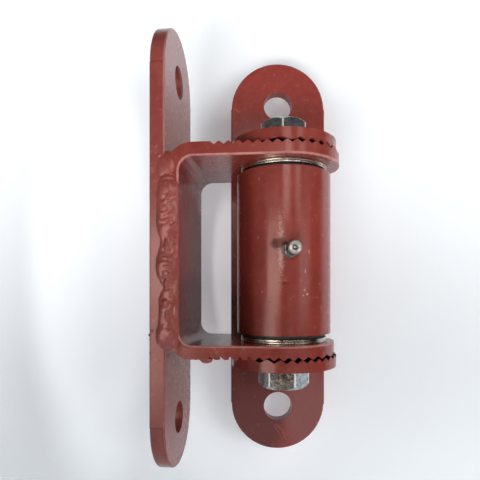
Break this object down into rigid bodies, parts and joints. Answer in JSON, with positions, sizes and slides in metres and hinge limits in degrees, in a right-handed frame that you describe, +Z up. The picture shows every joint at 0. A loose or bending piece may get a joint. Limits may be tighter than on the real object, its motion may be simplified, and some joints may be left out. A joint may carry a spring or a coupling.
{
  "type": "pivot hinge",
  "caption": "Adjustable bolt-on gate hinge: a serrated yoke on a post plate holds a greased ball-bearing barrel that carries the gate plate.",
  "frame": {"origin": "centre of the post plate's mounting face, between its two bolt holes", "axes": "+Z up along the post plate and the pivot, +X from the post plate towards the barrel, +Y towards the side where the gate plate leans at rest"},
  "size_m": [0.0965, 0.0789, 0.2425],
  "materials": {
    "red_oxide_primer": "satin red-oxide primer with runs and dips",
    "zinc_plate": "bright zinc-plated steel",
    "bearing_steel": "ground bearing steel",
    "cage_brass": "machined brass",
    "seal_rubber": "matt black rubber"
  },
  "bodies": {
    "post_side": {"post_plate": "red_oxide_primer", "yoke": "red_oxide_primer", "front_seam_weld": "red_oxide_primer", "rear_seam_weld": "red_oxide_primer"},
    "pivot_bolt": {"hinge_bolt": "zinc_plate", "hex_nut": "zinc_plate", "top_clamp_washer": "red_oxide_primer", "bottom_clamp_washer": "red_oxide_primer", "top_thrust_washer": "zinc_plate", "bottom_thrust_washer": "zinc_plate", "top_shim_washer": "zinc_plate", "bottom_shim_washer": "zinc_plate", "top_collar": "zinc_plate", "bottom_collar": "zinc_plate", "spacer_sleeve": "zinc_plate", "top_inner_ring": "bearing_steel", "bottom_inner_ring": "bearing_steel"},
    "gate_side": {"barrel": "red_oxide_primer", "gate_plate": "red_oxide_primer", "packing_bar": "red_oxide_primer", "left_barrel_weld": "red_oxide_primer", "right_barrel_weld": "red_oxide_primer", "top_outer_ring": "bearing_steel", "bottom_outer_ring": "bearing_steel", "top_seal": "seal_rubber", "bottom_seal": "seal_rubber", "grease_nipple": "zinc_plate"},
    "top_balls": {"top_bearing_balls": "bearing_steel", "top_ball_cage": "cage_brass"},
    "bottom_balls": {"bottom_bearing_balls": "bearing_steel", "bottom_ball_cage": "cage_brass"},
    "grease_check": {"check_ball": "bearing_steel"}
  },
  "joints": [
    {"name": "bolt_adjust", "type": "slide", "parent": "post_side", "child": "pivot_bolt", "axis": [1, 0, 0], "range_m": [-0.003, 0.009]},
    {"name": "gate_swing", "type": "hinge", "parent": "pivot_bolt", "child": "gate_side", "pos_m": [0.06654, 0, -0.003], "axis": [0, 0, -1], "range_deg": [0, 193.6]},
    {"name": "top_balls_orbit", "type": "hinge", "parent": "pivot_bolt", "child": "top_balls", "pos_m": [0.06654, 0, -0.003], "axis": [0, 0, -1], "range_deg": [0, 120.1]},
    {"name": "bottom_balls_orbit", "type": "hinge", "parent": "pivot_bolt", "child": "bottom_balls", "pos_m": [0.06654, 0, -0.003], "axis": [0, 0, -1], "range_deg": [0, 120.1]},
    {"name": "check_ball_lift", "type": "slide", "parent": "gate_side", "child": "grease_check", "axis": [-0.153, 0.9882, 0], "range_m": [0, 0.0008], "stiffness_N_per_m": 300, "springref_m": -0.001}
  ],
  "couplings": [
    {"joint": "top_balls_orbit", "follows": "gate_swing", "ratio": 0.61765},
    {"joint": "bottom_balls_orbit", "follows": "gate_swing", "ratio": 0.61765}
  ]
}
